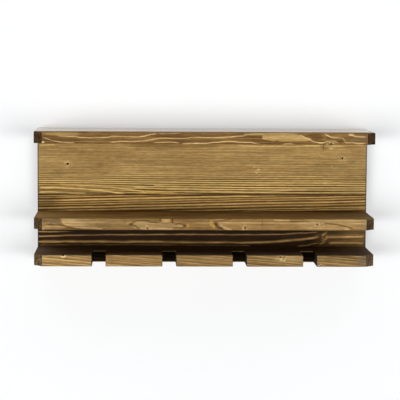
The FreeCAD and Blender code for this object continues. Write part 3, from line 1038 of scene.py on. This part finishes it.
def beech_material():
    """Plain pale beech with short dark flecks, for the dowels inside the panel."""
    material, tree, inputs = new_material("plain_beech")
    place = millimetres(tree)
    fibres = tree.noise(place, BEECH_FIBRES)
    stripes = tree.step(fibres, BEECH_FIBRES.low, BEECH_FIBRES.high)
    colour = tree.mix(stripes, *BEECH_TONES)
    colour = tree.mix(tree.noise_step(place, BEECH_FLECKS, 0.0, BEECH_FLECK_COVER), colour, BEECH_FLECK)
    tree.feed(inputs["Base Color"], colour)
    tree.feed(inputs["Roughness"], tree.times_plus(fibres, *BEECH_ROUGHNESS))
    tree.relief(inputs, fibres, *BEECH_RELIEF)
    return material


def slot_centres():
    first = -SLOT_PITCH * (SLOT_COUNT - 1) / 2
    return [first + SLOT_PITCH * index for index in range(SLOT_COUNT)]


def shelf_corners(low, high, slotted):
    """Corners of a shelf, anticlockwise from above: place, easing radius, whether the next edge is sawn."""
    def corner(x, y, radius=CORNER_EASE, sawn=False):
        return Vector((x, y)), radius, sawn

    corners = [
        corner(low.x, high.y, 0.0),
        corner(low.x, low.y + CORNER_CLIP),
        corner(low.x + CORNER_CLIP, low.y),
    ]
    for centre in slot_centres() if slotted else []:
        left = centre - SLOT_WIDTH / 2
        right = centre + SLOT_WIDTH / 2
        end = low.y + SLOT_DEPTH
        corners.append(corner(left, low.y, sawn=True))
        corners.append(corner(left, end, SLOT_CORNER, True))
        corners.append(corner(right, end, SLOT_CORNER, True))
        corners.append(corner(right, low.y))
    corners.append(corner(high.x - CORNER_CLIP, low.y))
    corners.append(corner(high.x, low.y + CORNER_CLIP))
    corners.append(corner(high.x, high.y, 0.0))
    return corners


def round_corner(before, corner, after, radius):
    """Points of the arc that rounds a corner of an outline."""
    if radius == 0.0:
        return [corner]
    start = (before - corner).normalized()
    finish = (after - corner).normalized()
    half = start.angle(finish) / 2
    reach = radius / math.tan(half)
    middle = corner + (start + finish).normalized() * (radius / math.sin(half))
    first = corner + start * reach - middle
    last = corner + finish * reach - middle
    points = []
    for index in range(ARRIS_STEPS + 1):
        part = index / ARRIS_STEPS
        points.append(middle + first.slerp(last, part) * radius)
    return points


def walk_outline(corners):
    """The outline as close points, each with the mark of the edge that follows it."""
    points = []
    arcs = []
    for index, (corner, radius, _) in enumerate(corners):
        before = corners[index - 1][0]
        after = corners[(index + 1) % len(corners)][0]
        arcs.append(round_corner(before, corner, after, radius))
    for index, arc in enumerate(arcs):
        sawn = corners[index][2]
        sawn_arc = sawn and corners[index - 1][2]
        points.extend((place, sawn_arc) for place in arc[:-1])
        start = arc[-1]
        finish = arcs[(index + 1) % len(arcs)][0]
        count = max(1, round((finish - start).length / OUTLINE_STEP))
        points.extend((start.lerp(finish, step / count), sawn) for step in range(count))
    return points


def outward(points, index):
    """The outward mitre at a point of an anticlockwise outline."""
    here = points[index][0]
    before = (here - points[index - 1][0]).normalized()
    after = (points[(index + 1) % len(points)][0] - here).normalized()
    first = Vector((before.y, -before.x))
    second = Vector((after.y, -after.x))
    return (first + second) / (1 + first.dot(second))


def arris_at(place, seed):
    """The worn radius of an edge at a place: uneven along its length, with a few dents."""
    spot = Vector((place.x * ARRIS_CELLS, place.y * ARRIS_CELLS, seed))
    radius = ARRIS_RADIUS + ARRIS_SPREAD * noise.noise(spot)
    dent = noise.noise(Vector((place.x * DENT_CELLS, place.y * DENT_CELLS, seed + DENT_SEED)))
    worn = radius + DENT_DEPTH * max(0.0, dent - DENT_START) / (1 - DENT_START)
    return min(worn, ARRIS_MOST)


class Rim(NamedTuple):
    """A point of a shelf's outline, with the radii of its lower and upper edge there and their wear, past 1
    a painted highlight.
    """
    place: Vector
    outward: Vector
    wander: float
    radii: tuple
    wear: float


def rim_at(points, index, low, high, seed):
    place, sawn = points[index]
    away = outward(points, index)
    if place.y > high.y - ARRIS_RADIUS:
        return Rim(place, away, 0.0, (PANEL_EDGE_RADIUS, PANEL_EDGE_RADIUS), 1.0)
    wander = EDGE_WANDER * abs(noise.noise(place.to_3d() * WANDER_CELLS))
    lower = arris_at(place, seed)
    # The upper edges of the slot ends: worn more, and pale past full wear as a painted highlight
    if sawn and place.y > low.y + SLOT_DEPTH - SLOT_CORNER / 2:
        return Rim(place, away, wander, (lower, SLOT_END_RADIUS), SLOT_END_WEAR_AND_HIGHLIGHT)
    return Rim(place, away, wander, (lower, arris_at(place, seed + UPPER_SEED)), 1.0)


def edge_ring(shape, wear_mark, rims, level, side, turn):
    """Vertices round a shelf's lower (0) or upper (1) edge, turned from its flat face to its side."""
    ring = []
    for rim in rims:
        radius = rim.radii[side]
        spot = rim.place - rim.outward * (rim.wander + radius * (1 - math.sin(turn)))
        rise = radius * (1 - math.cos(turn))
        height = level + rise if side == 0 else level - rise
        vertex = shape.verts.new((spot.x, spot.y, height))
        vertex[wear_mark] = math.sin(2 * turn) * rim.wear
        ring.append(vertex)
    return ring


def shelf_shape(name, slotted, seed):
    """A shelf with eased, unevenly worn edges and, where slotted, stem slots open at the front."""
    low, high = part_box(name)
    points = walk_outline(shelf_corners(low, high, slotted))
    rims = [rim_at(points, index, low, high, seed) for index in range(len(points))]
    shape = bmesh.new()
    sawn_mark = shape.faces.layers.float.new("sawn")
    wear_mark = shape.verts.layers.float.new("wear")
    turns = [math.pi / 2 * step / ARRIS_STEPS for step in range(ARRIS_STEPS + 1)]
    rings = [edge_ring(shape, wear_mark, rims, low.z, 0, turn) for turn in turns]
    rings += [edge_ring(shape, wear_mark, rims, high.z, 1, turn) for turn in reversed(turns)]
    for lower, upper in zip(rings, rings[1:]):
        for index, (_, sawn) in enumerate(points):
            after = (index + 1) % len(points)
            face = shape.faces.new((lower[index], lower[after], upper[after], upper[index]))
            face[sawn_mark] = float(sawn)
    shape.faces.new(rings[0][::-1])
    shape.faces.new(rings[-1])
    for face in shape.faces:
        face.smooth = True
    return shape


def add_object(name, data):
    made = bpy.data.objects.new(name, data)
    bpy.context.scene.collection.objects.link(made)
    return made


def shelf_board(name, seed):
    shape = shelf_shape(name, name == SLOTTED_SHELF, seed)
    mesh = bpy.data.meshes.new(name + "_board")
    shape.to_mesh(mesh)
    shape.free()
    board = add_object(name + "_board", mesh)
    board.modifiers.new("even_normals", "WEIGHTED_NORMAL").weight = NORMAL_WEIGHT
    return board


def dress_shelves():
    for index, (name, figure) in enumerate(SHELVES.items()):
        board = shelf_board(name, index * SHELF_SEED)
        board.data.materials.append(wood_material(name, figure))
        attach(board, "root")
        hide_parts(name)


def dress_nodes():
    """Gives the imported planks, steel and dowels their materials."""
    steel = steel_material()
    beech = beech_material()
    for name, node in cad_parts.items():
        if name in SHELVES:
            continue
        if name in PLANKS:
            material = wood_material(name, PLANKS[name])
        elif name.startswith("panel_dowel"):
            material = beech
        else:
            material = steel
        node.data.materials.clear()
        node.data.materials.append(material)


def wall_material():
    """Matt white wall that is seen from its front only, so that the rack's back can be looked at."""
    material, tree, _ = new_material("white_wall")
    material.node_tree.nodes.clear()
    clouds = tree.noise(millimetres(tree), WALL_CLOUDS)
    colour = tree.mix(clouds, *WALL_TONES)
    front = tree.node("BsdfDiffuse", colour).outputs["BSDF"]
    glow = tree.node("Emission", colour).outputs["Emission"]
    back = tree.node("BsdfTransparent").outputs["BSDF"]
    path = tree.node("LightPath").outputs
    seen = tree.most(path["Is Camera Ray"], path["Is Glossy Ray"])
    lifted = tree.node("MixShader", tree.times(seen, WALL_GLOW), front, glow).outputs["Shader"]
    behind = tree.node("NewGeometry").outputs["Backfacing"]
    both = tree.node("MixShader", behind, lifted, back).outputs["Shader"]
    tree.node("OutputMaterial", both)
    return material


def add_wall():
    mesh = bpy.data.meshes.new("wall")
    signs = ((-1, -1), (1, -1), (1, 1), (-1, 1))
    corners = [(x * WALL_REACH, WALL_GAP, z * WALL_REACH) for x, z in signs]
    mesh.from_pydata(corners, [], [(0, 1, 2, 3)])
    wall = add_object("wall", mesh)
    mesh.materials.append(wall_material())
    wall.visible_shadow = False


def add_light():
    """Wide soft light from both sides at about the rack's own height, with a weak even fill."""
    world = bpy.data.worlds.new("studio")
    bpy.context.scene.world = world
    world.use_nodes = True
    tree = Tree(world.node_tree)
    world.node_tree.nodes.clear()
    x, y, z = tree.parts(tree.node("TexCoord").outputs["Generated"])
    band = tree.ramp(tree.math("ADD", z, HEIGHT_SHIFT), HEIGHT_STOPS)
    sides = tree.ramp(tree.math("ABSOLUTE", y), DEPTH_STOPS)
    lean = tree.times_plus(x, -LIGHT_LEAN * LIGHT_STRENGTH, LIGHT_STRENGTH)
    glow = tree.times_plus(tree.times(band, sides), lean, FILL_STRENGTH)
    glow = tree.math("ADD", glow, tree.step(z, *OVERHEAD_LEVELS, 0.0, OVERHEAD_STRENGTH))
    seen = tree.node("LightPath").outputs["Is Camera Ray"]
    unseen = tree.times(tree.math("SUBTRACT", 1.0, seen), glow)
    strength = tree.math("ADD", tree.times(seen, BACKGROUND_STRENGTH), unseen)
    background = tree.node("Background", (1.0, 1.0, 1.0, 1.0), strength)
    tree.node("OutputWorld", background.outputs["Background"])


def add_camera():
    ahead = (CAMERA_AIM - CAMERA_EYE).normalized()
    level = ahead.cross(Vector((0.0, 0.0, 1.0))).normalized()
    rise = level.cross(ahead)
    right = level * math.cos(CAMERA_ROLL) + rise * math.sin(CAMERA_ROLL)
    up = rise * math.cos(CAMERA_ROLL) - level * math.sin(CAMERA_ROLL)
    turn = Matrix((right, up, -ahead)).transposed().to_4x4()
    data = bpy.data.cameras.new("camera")
    data.lens = CAMERA_LENS
    data.sensor_width = SENSOR_WIDTH
    camera = add_object("camera", data)
    camera.matrix_world = Matrix.Translation(CAMERA_EYE) @ turn
    bpy.context.scene.camera = camera


bpy.context.scene.view_settings.view_transform = "Standard"
dress_shelves()
dress_nodes()
add_wall()
add_light()
add_camera()
